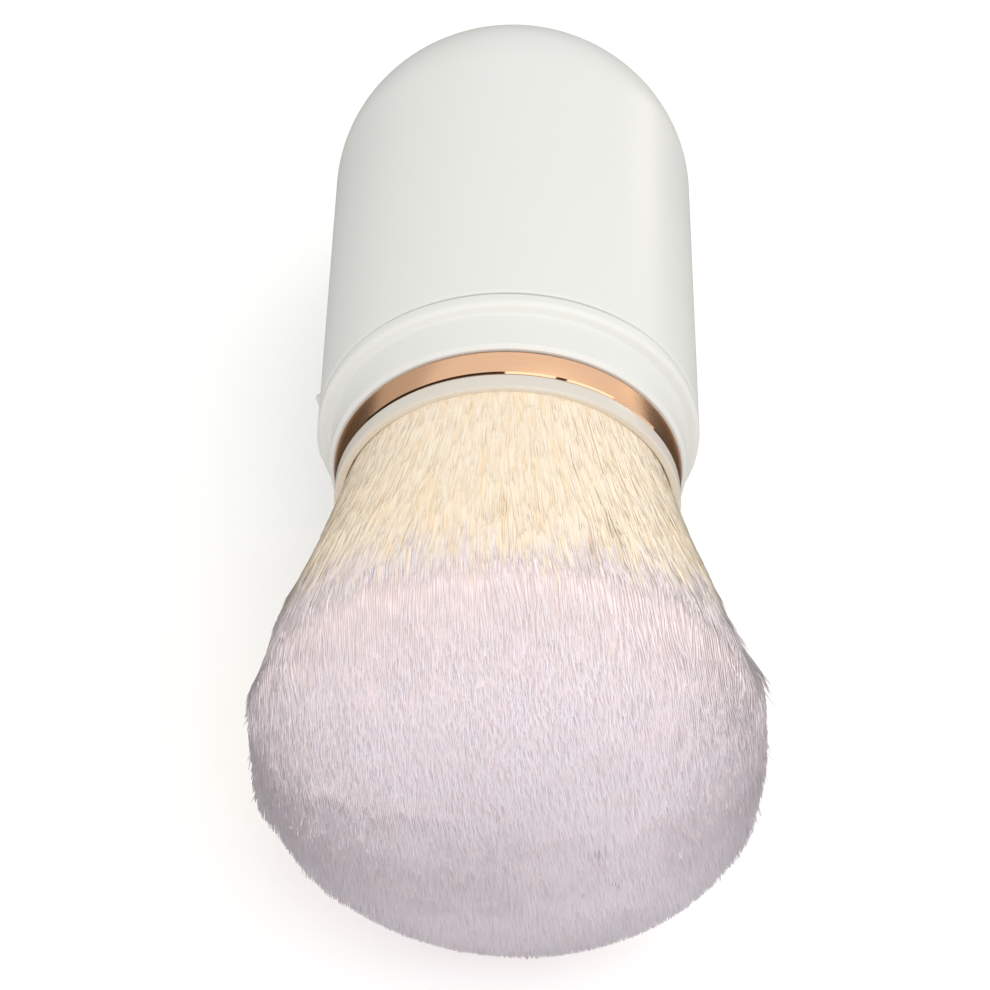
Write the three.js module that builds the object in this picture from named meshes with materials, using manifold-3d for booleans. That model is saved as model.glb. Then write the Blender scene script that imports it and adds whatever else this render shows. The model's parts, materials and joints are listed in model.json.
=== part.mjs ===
// Retractable nail brush, in millimetres.
// The brush lies along Y: its tuft points towards -Y and its domed end towards +Y, with +Z up.
// Places along the brush are measured from the front plane of its lip towards the dome.
import * as THREE from "three";
import { mergeVertices } from "three/addons/utils/BufferGeometryUtils.js";
import Module from "manifold-3d";

const wasm = await Module();
wasm.setup();

// Driving dimensions of the whole brush
const bodyRadius = 19;
const bodyLength = 62.6; // lip plane to the top of the dome
const domeHeight = 17.4;
const slideTravel = 28;
const pressTravel = 1.2;

// Clearances
const seamGap = 0.15; // the fine seams that show outside
const seatGap = 0.2; // between pieces that are fixed to each other
const runningGap = 0.3; // between pieces that move past each other
const overrun = 1; // how far a cut runs past what it cuts

// Shell
const shellWall = 1.6;
const shellEdge = 0.3;

// Lip, with the skirt that runs back under the ring
const lipStep = 2.1; // how much the lip's radius falls short of the body's
const lipLength = 1.7;
const lipRim = 0.6;
const lipEdge = 0.2;
const flareLength = 4.6;
const skirtLength = 6.5;
const skirtWall = 0.65;

// Ring
const ringStep = 2.15;
const ringLength = 2.7;
const ringThickness = 0.55;
const ringBevel = 0.5;
const ringBevelDrop = 0.35;

// Collar: neck, flange and the tail that snaps into the shell
const neckStep = 1.4;
const neckLength = 4.3;
const neckEdge = 0.45;
const neckFillet = 0.4;
const flangeLength = 1.45;
const flangeRound = 0.6;
const flangeEdge = 0.25;
const tailLength = 3.4;
const beadHeight = 0.22;
const beadLength = 0.9;

// Guide sleeve
const sleeveWall = 1.1;
const keyHeight = 0.6;
const keyWidth = 1.6;

// Ferrule, its root plug and the crimp that bites into the plug
const ferruleSetback = 6.2; // lip plane to the ferrule's front edge
const ferruleLength = 6.6;
const ferruleWall = 0.4;
const ferruleRound = 0.5;
const crimpDepth = 0.35;
const crimpLength = 1.1;
const rootSetback = 1.2; // ferrule's front edge to the face of the bound roots
const rootThickness = 2.2;

// Carriage
const carriageLength = 9.4;
const webThickness = 1.8;
const bandLength = 2;
const bandHeight = 0.5;
const carriageWall = 1.3;
const gussetWidth = 1;
const gussetHeight = 3;
const gussetCount = 3;

// Ferrule screw and washer
const screwRadius = 1;
const screwHeadRadius = 2.4;
const screwHeadHeight = 1.5;
const screwHeadRound = 0.5;
const screwReach = 1.8; // how far the screw goes into the root plug
const screwSlotWidth = 0.6;
const screwSlotDepth = 0.7;
const washerRadius = 3.2;
const washerThickness = 0.5;

// Thumb button
const buttonSetback = 6.5; // shell's front edge to the middle of the grip ridge
const buttonAngle = 30; // degrees below the horizontal, on the -X side
const padWidth = 10.2;
const padLength = 9.2;
const padCorner = 2.2;
const padRise = 1.3; // how far the pad stands out past the body
const padThickness = 0.8;
const padEdge = 0.3;
const ridgeHeight = 0.5;
const ridgeLength = 2.6;
const ridgeFlank = 0.5;
const trackMargin = 0.4;
const bossWidth = 2.8;
const bossLength = 4;
const bossDrop = 1.6;
const socketSkin = 0.5;

// Latch post, with the foot that rides in the carriage's pocket
const tongueWidth = 1.2;
const postWidth = 2.4;
const postLength = 2.4;
const footWidth = 5.8;
const footLength = 4.4;
const footThickness = 1.6;
const footSink = 2.1; // sleeve's inner wall down to the foot's top
const footPinRadius = 1.1;
const footPinLength = 1;
const pocketWall = 1.2;

// Latch clip
const clipThickness = 0.3;
const prongLength = 2.2;
const prongReach = 0.7; // how far a prong stands into the sleeve's wall

// Button spring
const springLength = 3;
const springRadius = 1.75; // axis of the coil to the middle of its wire
const wireRadius = 0.175;
const springTurns = 3;

// Tuft
const tuftLength = 43.8; // lip plane to the foremost tip
const tuftRadius = 23.3;
const tuftShoulder = 27.7; // lip plane to where the tuft is widest
const tuftMouthGap = 0.25;
const tuftPress = 0.5; // how flat the tuft is pressed where the brush lies on it
const strandRootRadius = 0.36;
const strandRadius = 0.45; // at the mouth
const strandFullRadius = 0.72; // where it starts to taper to its tip
const strandSink = 0.5;
const tipRaggedness = 1.4;
const strandRings = 10;
const strandsPerRing = 6; // each ring of strands has this many more than the one inside it
const strandSides = 3;
const ringTurnShare = 0.382; // of a strand's place in its ring, from one ring to the next
const strandFullShare = 0.78;
const bellShare = 0.04;
const domePower = 2.4;

// Facets
const bodySides = 48;
const innerSides = 36;
const smallSides = 16;
const domeSteps = 8;
const roundingSteps = 2;
const roomShare = 0.48;
const cornerSteps = 3;
const springStepsPerTurn = 8;
const springSides = 5;

// Places along the brush
const ringFront = lipLength + seamGap;
const ringBack = ringFront + ringLength;
const neckFront = ringBack + seamGap;
const flangeFront = neckFront + neckLength;
const flangeBack = flangeFront + flangeLength;
const shellFront = flangeBack + seamGap;
const tailBack = flangeBack + tailLength;
const skirtBack = lipLength + skirtLength;
const domePlace = bodyLength - domeHeight;
const sleeveFront = tailBack + seatGap;
const sleeveBack = domePlace;
const ferruleBack = ferruleSetback + ferruleLength;
const ferruleFloor = ferruleBack - ferruleWall;
const rootFront = ferruleSetback + rootSetback;
const rootBack = rootFront + rootThickness;
const plugFront = rootBack + seatGap;
const plugBack = ferruleFloor - seatGap;
const crimpPlace = (plugFront + plugBack) / 2;
const carriageFront = ferruleBack + seatGap;
const carriageBack = carriageFront + carriageLength;
const webBack = carriageFront + webThickness;
const washerFront = webBack + seatGap;
const screwHeadFront = washerFront + washerThickness + seatGap;
const bandFront = tailBack + runningGap;
const buttonPlace = shellFront + buttonSetback;

// Distances from the brush's axis
const shellInner = bodyRadius - shellWall;
const lipRadius = bodyRadius - lipStep;
const mouthRadius = lipRadius - lipRim;
const ringRadius = bodyRadius - ringStep;
const skirtRadius = ringRadius - ringThickness - seatGap;
const skirtInner = skirtRadius - skirtWall;
const ferruleRadius = skirtInner - runningGap;
const ferruleInner = ferruleRadius - ferruleWall;
const plugRadius = ferruleInner - seatGap;
const neckRadius = bodyRadius - neckStep;
const tailRadius = shellInner - seatGap;
const sleeveInner = tailRadius - sleeveWall;
const keyInner = sleeveInner - keyHeight;
const carriageRadius = sleeveInner - runningGap;
const carriageSkirt = carriageRadius - bandHeight;
const screwHole = screwRadius + seatGap;

// Distances from the brush's axis in the button's direction
const padTop = bodyRadius + padRise;
const padUnder = padTop - padThickness;
const trackFloor = padUnder - pressTravel - runningGap;
const bossEnd = padUnder - bossDrop;
const postShoulder = bossEnd - seatGap;
const socketTop = padTop - socketSkin;
const tongueTop = socketTop - seatGap;
const footTop = sleeveInner - footSink;
const footUnder = footTop - footThickness;
const clipUnder = footTop + seatGap;
const clipTop = clipUnder + clipThickness;
const prongTop = sleeveInner + prongReach;
const springTop = footUnder - seatGap;
const springFloor = springTop - springLength;
const pocketFloor = springFloor - seatGap;
const buttonTurn = -THREE.MathUtils.degToRad(90 + buttonAngle);
const pocketWidth = footWidth + 2 * runningGap;
const pocketLength = footLength + 2 * runningGap;

// Points of a revolved outline from corners given as [distance from the axis, place, rounding].
function outlineOf(corners) {
  const at = (i) => new THREE.Vector2(...corners[(i + corners.length) % corners.length]);
  return corners.flatMap(([, , rounding = 0], i) => {
    const here = at(i);
    const toBefore = at(i - 1).sub(here);
    const toAfter = at(i + 1).sub(here);
    if (rounding === 0) return [here];
    const room = Math.min(toBefore.length(), toAfter.length()) * roomShare;
    const reach = Math.min(rounding / Math.tan(toBefore.angleTo(toAfter) / 2), room);
    const start = here.clone().add(toBefore.setLength(reach));
    const end = here.clone().add(toAfter.setLength(reach));
    return new THREE.QuadraticBezierCurve(start, here, end).getPoints(roundingSteps);
  });
}

// A closed geometry as a solid, with its faces turned outwards.
function solidOf(geometry) {
  geometry.deleteAttribute("normal");
  geometry.deleteAttribute("uv");
  const merged = mergeVertices(geometry);
  const places = merged.getAttribute("position");
  const corner = (i) => new THREE.Vector3().fromBufferAttribute(places, i);
  const triangles = [];
  let volume = 0;
  for (let i = 0; i < merged.index.count; i += 3) {
    const [a, b, c] = [0, 1, 2].map((k) => merged.index.getX(i + k));
    if (a === b || b === c || c === a) continue;
    triangles.push([a, b, c]);
    volume += corner(a).dot(corner(b).cross(corner(c)));
  }
  const outward = volume > 0 ? triangles : triangles.map(([a, b, c]) => [a, c, b]);
  return new wasm.Manifold(
    new wasm.Mesh({
      numProp: 3,
      vertProperties: new Float32Array(places.array),
      triVerts: new Uint32Array(outward.flat()),
    }),
  );
}

// A solid of revolution about the brush's axis. An outline that doesn't start on the axis is closed.
function revolve(corners, sides) {
  const outline = outlineOf(corners);
  if (corners[0][0] > 0) outline.push(outline[0].clone());
  return solidOf(new THREE.LatheGeometry(outline, sides));
}

// A box across the button's direction, between two distances from the axis.
function block(width, length, along, from, to) {
  return new THREE.BoxGeometry(width, length, to - from).translate(0, along, (from + to) / 2);
}

// A flat shape pushed outwards from one distance from the axis to another.
function pushedOut(shape, from, to) {
  const settings = { depth: to - from, bevelEnabled: false, curveSegments: cornerSteps };
  return new THREE.ExtrudeGeometry(shape, settings).translate(0, 0, from);
}

// A rectangle with round corners, from one place along the brush to another.
function roundedShape(width, start, end, radius) {
  const side = width / 2;
  const shape = new THREE.Shape();
  shape.absarc(side - radius, start + radius, radius, -Math.PI / 2, 0);
  shape.absarc(side - radius, end - radius, radius, 0, Math.PI / 2);
  shape.absarc(radius - side, end - radius, radius, Math.PI / 2, Math.PI);
  shape.absarc(radius - side, start + radius, radius, Math.PI, Math.PI * 1.5);
  return shape;
}

function meshOf(name, solid, look) {
  const { vertProperties, triVerts } = solid.getMesh();
  const geometry = new THREE.BufferGeometry();
  geometry.setAttribute("position", new THREE.BufferAttribute(vertProperties, 3));
  geometry.setIndex(new THREE.BufferAttribute(triVerts, 1));
  geometry.computeVertexNormals();
  const mesh = new THREE.Mesh(geometry, new THREE.MeshStandardMaterial(look));
  mesh.name = name;
  return mesh;
}

// The slot that the button's boss and the latch post run in, open through shell and sleeve.
const slotWidth = bossWidth + 2 * runningGap;
const slotFront = buttonPlace - bossLength / 2 - runningGap;
const slotBack = buttonPlace + slideTravel + bossLength / 2 + runningGap;
const slotCut = (from, to) =>
  solidOf(pushedOut(roundedShape(slotWidth, slotFront, slotBack, slotWidth / 2), from, to).rotateY(buttonTurn));

// Shell: cylinder and dome of even wall, a snap groove inside, and the sunk track for the thumb pad.
function bodyShell() {
  const grooveMiddle = (flangeBack + tailBack) / 2;
  const grooveHalf = beadLength / 2 + seatGap;
  const dome = (radius, height) =>
    Array.from({ length: domeSteps }, (_, i) => {
      const angle = ((i + 1) / domeSteps) * (Math.PI / 2);
      return [i + 1 < domeSteps ? radius * Math.cos(angle) : 0, domePlace + height * Math.sin(angle)];
    });
  const shell = revolve(
    [
      ...dome(shellInner, domeHeight - shellWall).reverse(),
      [shellInner, domePlace],
      [shellInner, grooveMiddle + grooveHalf],
      [shellInner + beadHeight, grooveMiddle],
      [shellInner, grooveMiddle - grooveHalf],
      [shellInner, shellFront],
      [bodyRadius, shellFront, shellEdge],
      [bodyRadius, domePlace],
      ...dome(bodyRadius, domeHeight),
    ],
    bodySides,
  );
  const trackWidth = padWidth + 2 * trackMargin;
  const trackFront = buttonPlace - padLength / 2 - trackMargin;
  const trackBack = buttonPlace + slideTravel + padLength / 2 + trackMargin;
  const trackShape = roundedShape(trackWidth, trackFront, trackBack, padCorner + trackMargin);
  const trackRing = revolve(
    [
      [trackFloor, trackFront - overrun],
      [bodyRadius + overrun, trackFront - overrun],
      [bodyRadius + overrun, trackBack + overrun],
      [trackFloor, trackBack + overrun],
    ],
    bodySides,
  );
  const track = solidOf(pushedOut(trackShape, 0, bodyRadius + 2 * overrun).rotateY(buttonTurn)).intersect(trackRing);
  return shell.subtract(track).subtract(slotCut(shellInner / 2, bodyRadius + overrun));
}

// Collar: neck, rounded shoulder and flange outside; counterbore and stop inside; snap bead on the tail.
function neckCollar() {
  const beadMiddle = (flangeBack + tailBack) / 2;
  return revolve(
    [
      [skirtRadius + seatGap, neckFront],
      [neckRadius, neckFront, neckEdge],
      [neckRadius, flangeFront, neckFillet],
      [bodyRadius, flangeFront, flangeRound],
      [bodyRadius, flangeBack, flangeEdge],
      [tailRadius, flangeBack],
      [tailRadius, beadMiddle - beadLength / 2],
      [tailRadius + beadHeight, beadMiddle],
      [tailRadius, beadMiddle + beadLength / 2],
      [tailRadius, tailBack],
      [skirtInner, tailBack],
      [skirtInner, skirtBack + seatGap],
      [skirtRadius + seatGap, skirtBack + seatGap],
    ],
    bodySides,
  );
}

// Lip: the white front rim with its flared mouth, and the skirt behind it.
function mouthBezel() {
  return revolve(
    [
      [mouthRadius, 0, lipEdge],
      [lipRadius, 0, lipEdge],
      [lipRadius, lipLength],
      [skirtRadius, lipLength],
      [skirtRadius, skirtBack],
      [skirtInner, skirtBack],
      [skirtInner, flareLength],
    ],
    bodySides,
  );
}

// Ring: a thin band with a polished front bevel.
function trimRing() {
  return revolve(
    [
      [ringRadius - ringThickness, ringFront],
      [ringRadius - ringBevelDrop, ringFront],
      [ringRadius, ringFront + ringBevel],
      [ringRadius, ringBack],
      [ringRadius - ringThickness, ringBack],
    ],
    bodySides,
  );
}

// Guide sleeve: two keys inside, the slot open to the back, and a pair of lock windows at each end of it.
function guideSleeve() {
  const windowWidth = footWidth + 2 * runningGap;
  const windowLength = prongLength + 2 * runningGap;
  const tube = revolve(
    [
      [sleeveInner, sleeveFront],
      [tailRadius, sleeveFront],
      [tailRadius, sleeveBack],
      [sleeveInner, sleeveBack],
    ],
    bodySides,
  );
  const keyLength = sleeveBack - sleeveFront;
  const keys = [-1, 1].map((side) =>
    solidOf(
      block(keyWidth, keyLength, sleeveFront + keyLength / 2, keyInner, sleeveInner + sleeveWall / 2).rotateY(
        buttonTurn + (side * Math.PI) / 2,
      ),
    ),
  );
  const windows = [buttonPlace, buttonPlace + slideTravel].map((place) =>
    solidOf(block(windowWidth, windowLength, place, sleeveInner / 2, tailRadius + overrun).rotateY(buttonTurn)),
  );
  const backEnd = solidOf(
    block(slotWidth, slotBack - domePlace + overrun, domePlace, sleeveInner / 2, tailRadius + overrun).rotateY(
      buttonTurn,
    ),
  );
  const keyed = keys.reduce((whole, key) => whole.add(key), tube);
  const cuts = [slotCut(sleeveInner / 2, tailRadius + overrun), backEnd, ...windows];
  return cuts.reduce((whole, cut) => whole.subtract(cut), keyed);
}

// Ferrule: a drawn cup with a crimped groove and a hole in its floor for the screw.
function ferrule() {
  const wall = (radius, direction) => [
    [radius, crimpPlace - (direction * crimpLength) / 2],
    [radius - crimpDepth, crimpPlace],
    [radius, crimpPlace + (direction * crimpLength) / 2],
  ];
  return revolve(
    [
      [screwHole, ferruleFloor],
      [ferruleInner, ferruleFloor],
      ...wall(ferruleInner, -1),
      [ferruleInner, ferruleSetback],
      [ferruleRadius, ferruleSetback],
      ...wall(ferruleRadius, 1),
      [ferruleRadius, ferruleBack, ferruleRound],
      [screwHole, ferruleBack],
    ],
    innerSides,
  );
}

// Root plug: closes the cup behind the roots, with a groove under the crimp.
function rootPlug() {
  return revolve(
    [
      [screwHole, plugFront],
      [plugRadius, plugFront],
      [plugRadius, crimpPlace - crimpLength / 2],
      [plugRadius - crimpDepth, crimpPlace],
      [plugRadius, crimpPlace + crimpLength / 2],
      [plugRadius, plugBack],
      [screwHole, plugBack],
    ],
    innerSides,
  );
}

// Carriage: a moulded cup with a guide band at each end, keyways, gussets and the button's pocket.
function carriage() {
  const cup = revolve(
    [
      [screwHole, carriageFront],
      [ferruleRadius, carriageFront],
      [ferruleRadius, bandFront],
      [carriageRadius, bandFront],
      [carriageRadius, bandFront + bandLength],
      [carriageSkirt, bandFront + bandLength],
      [carriageSkirt, carriageBack - bandLength],
      [carriageRadius, carriageBack - bandLength],
      [carriageRadius, carriageBack],
      [carriageSkirt - carriageWall, carriageBack],
      [carriageSkirt - carriageWall, webBack],
      [screwHole, webBack],
    ],
    innerSides,
  );
  const core = revolve(
    [
      [0, carriageFront],
      [carriageSkirt, carriageFront],
      [carriageSkirt, carriageBack],
      [0, carriageBack],
    ],
    innerSides,
  );
  const towerLength = buttonPlace + pocketLength / 2 + pocketWall - carriageFront - webThickness / 2;
  const towerMiddle = carriageFront + webThickness / 2 + towerLength / 2;
  const towerWidth = pocketWidth + 2 * pocketWall;
  const tower = solidOf(
    block(towerWidth, towerLength, towerMiddle, pocketFloor - pocketWall, carriageRadius).rotateY(buttonTurn),
  ).intersect(core);
  const gussets = Array.from({ length: gussetCount }, (_, i) =>
    solidOf(
      block(
        gussetWidth,
        gussetHeight,
        webBack + gussetHeight / 2 - seatGap,
        washerRadius + runningGap,
        carriageSkirt - carriageWall / 2,
      ).rotateY(buttonTurn + ((i + 1) / (gussetCount + 1)) * 2 * Math.PI),
    ),
  );
  const pocket = solidOf(
    block(pocketWidth, pocketLength, buttonPlace, pocketFloor, carriageRadius + overrun).rotateY(buttonTurn),
  );
  const keyways = [-1, 1].map((side) =>
    solidOf(
      block(
        keyWidth + 2 * runningGap,
        carriageLength + 2 * overrun,
        (carriageFront + carriageBack) / 2,
        keyInner - runningGap,
        carriageRadius + overrun,
      ).rotateY(buttonTurn + (side * Math.PI) / 2),
    ),
  );
  const joined = [tower, ...gussets].reduce((whole, piece) => whole.add(piece), cup);
  return [pocket, ...keyways].reduce((whole, cut) => whole.subtract(cut), joined);
}

// Screw: pan head with a driver slot, its shank through washer, web and ferrule into the plug.
function ferruleScrew() {
  const headBack = screwHeadFront + screwHeadHeight;
  const shankFront = plugBack - screwReach;
  const screw = revolve(
    [
      [0, shankFront],
      [screwRadius, shankFront],
      [screwRadius, screwHeadFront],
      [screwHeadRadius, screwHeadFront],
      [screwHeadRadius, headBack, screwHeadRound],
      [0, headBack],
    ],
    smallSides,
  );
  const slot = new THREE.BoxGeometry(2 * (screwHeadRadius + overrun), 2 * screwSlotDepth, screwSlotWidth);
  return screw.subtract(solidOf(slot.translate(0, headBack, 0)));
}

function screwWasher() {
  return revolve(
    [
      [screwHole, washerFront],
      [washerRadius, washerFront],
      [washerRadius, washerFront + washerThickness],
      [screwHole, washerFront + washerThickness],
    ],
    smallSides,
  );
}

// The coil's middle line, from its floor in the pocket up to the latch foot.
class CoilLine extends THREE.Curve {
  getPoint(t) {
    const angle = t * springTurns * 2 * Math.PI;
    const rise = springFloor + wireRadius + t * (springLength - 2 * wireRadius);
    return new THREE.Vector3(springRadius * Math.cos(angle), buttonPlace + springRadius * Math.sin(angle), rise);
  }
}

// Button spring: one unbroken round wire.
function buttonSpring() {
  const section = new THREE.Shape(
    Array.from({ length: springSides }, (_, i) => {
      const turn = (i / springSides) * 2 * Math.PI;
      return new THREE.Vector2(wireRadius * Math.cos(turn), wireRadius * Math.sin(turn));
    }),
  );
  const line = new CoilLine();
  const steps = springTurns * springStepsPerTurn;
  const settings = { steps, extrudePath: line };
  const points = line.getPoints(steps * springStepsPerTurn);
  const halfTurn = (springStepsPerTurn * springStepsPerTurn) / 2;
  let gap = Infinity;
  points.forEach((point, i) => {
    points.slice(i + halfTurn).forEach((other) => {
      gap = Math.min(gap, point.distanceTo(other) - 2 * wireRadius);
    });
  });
  console.log(`button spring: least gap between its turns ${gap.toFixed(2)} mm`);
  return solidOf(new THREE.ExtrudeGeometry(section, settings));
}

// Thumb button: a pad curved like the body with one grip ridge, and a socketed boss in the slot.
function sliderButton() {
  const front = buttonPlace - padLength / 2;
  const back = buttonPlace + padLength / 2;
  const ridgeFront = buttonPlace - ridgeLength / 2;
  const ridgeBack = buttonPlace + ridgeLength / 2;
  const ring = revolve(
    [
      [padUnder, front],
      [padTop, front, padEdge],
      [padTop, ridgeFront],
      [padTop + ridgeHeight, ridgeFront + ridgeFlank],
      [padTop + ridgeHeight, ridgeBack - ridgeFlank],
      [padTop, ridgeBack],
      [padTop, back, padEdge],
      [padUnder, back],
    ],
    bodySides,
  );
  const pad = solidOf(pushedOut(roundedShape(padWidth, front, back, padCorner), bodyRadius / 2, padTop + overrun));
  const bossStart = buttonPlace - bossLength / 2;
  const bossShape = roundedShape(bossWidth, bossStart, bossStart + bossLength, bossWidth / 2);
  const boss = solidOf(pushedOut(bossShape, bossEnd, padUnder + padThickness / 2));
  const socketWidth = tongueWidth + 2 * seatGap;
  const socketLength = postLength + 2 * seatGap;
  const socket = solidOf(block(socketWidth, socketLength, buttonPlace, bossEnd - overrun, socketTop));
  return ring.intersect(pad).add(boss).subtract(socket);
}

// Latch post: foot with a pin for the spring, post through the slot, tongue up into the button.
function latchPost() {
  const foot = solidOf(block(footWidth, footLength, buttonPlace, footUnder, footTop));
  const post = solidOf(block(postWidth, postLength, buttonPlace, footTop - footThickness / 2, postShoulder));
  const tongue = solidOf(block(tongueWidth, postLength, buttonPlace, footTop, tongueTop));
  const pinShape = roundedShape(
    2 * footPinRadius,
    buttonPlace - footPinRadius,
    buttonPlace + footPinRadius,
    footPinRadius,
  );
  const pin = solidOf(pushedOut(pinShape, footUnder - footPinLength, footTop - footThickness / 2));
  return foot.add(post).add(tongue).add(pin);
}

// Latch clip: a spring strip round the post whose two prongs stand in the sleeve's windows.
function latchClip() {
  const base = solidOf(block(footWidth, footLength, buttonPlace, clipUnder, clipTop));
  const prongs = [-1, 1].map((side) =>
    solidOf(
      block(clipThickness, prongLength, buttonPlace, clipUnder, prongTop).translate(
        (side * (footWidth - clipThickness)) / 2,
        0,
        0,
      ),
    ),
  );
  const hole = solidOf(
    block(postWidth + 2 * seatGap, postLength + 2 * seatGap, buttonPlace, footTop, prongTop + overrun),
  );
  return prongs.reduce((whole, prong) => whole.add(prong), base).subtract(hole);
}

// How far from the axis a strand runs at a place, if the tuft's outermost strand has share 1.
function flowRadius(place) {
  const rootRadius = ferruleInner - seatGap - strandRootRadius;
  const mouth = mouthRadius - tuftMouthGap - strandRadius;
  if (place > 0) return mouth + ((rootRadius - mouth) * place) / ferruleSetback;
  const along = Math.min(-place / tuftShoulder, 1);
  return mouth + (tuftRadius - mouth) * (along - bellShare * Math.sin(2 * Math.PI * along));
}

// One strand: from the bound roots through the mouth to its tip on the tuft's domed front. A flat side
// faces outwards, so that the strand clears the lip.
function strand(share, angle, shortening) {
  const front = tuftLength - tuftShoulder;
  const tip = -tuftShoulder - front * (1 - share ** domePower) ** (1 / domePower) + shortening;
  const stations = [
    [rootFront + strandSink, strandRootRadius],
    [0, strandRadius],
    [tip * strandFullShare, strandFullRadius],
  ];
  const middle = (place) => {
    const radius = share * flowRadius(place);
    return new THREE.Vector3(radius * Math.cos(angle), place, radius * Math.sin(angle));
  };
  const points = stations.flatMap(([place, thickness]) =>
    Array.from({ length: strandSides }, (_, i) => {
      const turn = angle + ((i + 0.5) * 2 * Math.PI) / strandSides;
      const offset = new THREE.Vector3(thickness * Math.cos(turn), 0, thickness * Math.sin(turn));
      return middle(place).add(offset);
    }),
  );
  points.push(middle(stations[0][0]), middle(tip));
  const root = points.length - 2;
  const end = points.length - 1;
  const faces = [];
  for (let i = 0; i < strandSides; i += 1) {
    const next = (i + 1) % strandSides;
    faces.push([root, i, next]);
    for (let ring = 0; ring + 1 < stations.length; ring += 1) {
      const low = ring * strandSides;
      const high = low + strandSides;
      faces.push([low + i, high + i, high + next], [low + i, high + next, low + next]);
    }
    const last = (stations.length - 1) * strandSides;
    faces.push([last + i, end, last + next]);
  }
  return { points, faces };
}

// Tuft: rings of strands that fan out evenly, fused to the disc that binds their roots, and pressed
// flat below, where the brush lies on them.
function bristles() {
  const strands = [strand(0, 0, 0)];
  for (let ring = 1; ring <= strandRings; ring += 1) {
    const count = ring * strandsPerRing;
    const ringTurn = (strandRings - ring) * ringTurnShare;
    for (let i = 0; i < count; i += 1) {
      const ragged = (strands.length * Math.SQRT2) % 1;
      const shortening = ring < strandRings ? ragged * tipRaggedness : 0;
      strands.push(strand(ring / strandRings, ((i + ringTurn) / count) * 2 * Math.PI, shortening));
    }
  }
  const places = [];
  const faces = [];
  strands.forEach((one) => {
    const first = places.length;
    places.push(...one.points);
    faces.push(...one.faces.map((face) => face.map((i) => i + first)));
  });
  const geometry = new THREE.BufferGeometry().setFromPoints(places);
  geometry.setIndex(faces.flat());
  const roots = revolve(
    [
      [0, rootFront],
      [plugRadius, rootFront],
      [plugRadius, rootBack],
      [0, rootBack],
    ],
    innerSides,
  );
  const pressed = new THREE.BoxGeometry(2 * tuftRadius, tuftLength, 2 * overrun);
  pressed.translate(0, -tuftLength / 2, tuftPress - tuftRadius - overrun);
  return roots.add(solidOf(geometry)).subtract(solidOf(pressed));
}

const satinWhite = { color: 0xedeeea, roughness: 0.42, metalness: 0 };
const milkyWhite = { color: 0xece6dc, roughness: 0.35, metalness: 0 };
const guideWhite = { color: 0xdedfdc, roughness: 0.5, metalness: 0 };
const roseGold = { color: 0xd9a27c, roughness: 0.22, metalness: 1 };
const aluminium = { color: 0xc9c9c6, roughness: 0.35, metalness: 1 };
const springSteel = { color: 0x9a9b9d, roughness: 0.3, metalness: 1 };
const fibre = { color: 0xf3e4d6, roughness: 0.8, metalness: 0 };

const fixed = new THREE.Group();
fixed.add(
  meshOf("body_shell", bodyShell(), satinWhite),
  meshOf("neck_collar", neckCollar(), satinWhite),
  meshOf("mouth_bezel", mouthBezel(), milkyWhite),
  meshOf("trim_ring", trimRing(), roseGold),
  meshOf("guide_sleeve", guideSleeve(), guideWhite),
);

const springMount = new THREE.Group();
springMount.rotation.y = buttonTurn;
springMount.add(meshOf("button_spring", buttonSpring(), springSteel));

const sliding = new THREE.Group();
sliding.add(
  meshOf("bristles", bristles(), fibre),
  meshOf("ferrule", ferrule(), aluminium),
  meshOf("root_plug", rootPlug(), guideWhite),
  meshOf("carriage", carriage(), guideWhite),
  meshOf("ferrule_screw", ferruleScrew(), springSteel),
  meshOf("screw_washer", screwWasher(), springSteel),
  springMount,
);

const button = new THREE.Group();
button.rotation.y = buttonTurn;
button.add(
  meshOf("slider_button", sliderButton(), satinWhite),
  meshOf("latch_post", latchPost(), guideWhite),
  meshOf("latch_clip", latchClip(), springSteel),
);

// The frame's origin is under the middle of the brush, level with the flat that the tuft lies on.
const group = new THREE.Group();
group.add(fixed, sliding, button);
group.position.set(0, (tuftLength - bodyLength) / 2, tuftRadius - tuftPress);

export default group;
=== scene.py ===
import json
import math

import bmesh
import bpy
from mathutils import Euler, Matrix, Vector, noise


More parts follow.
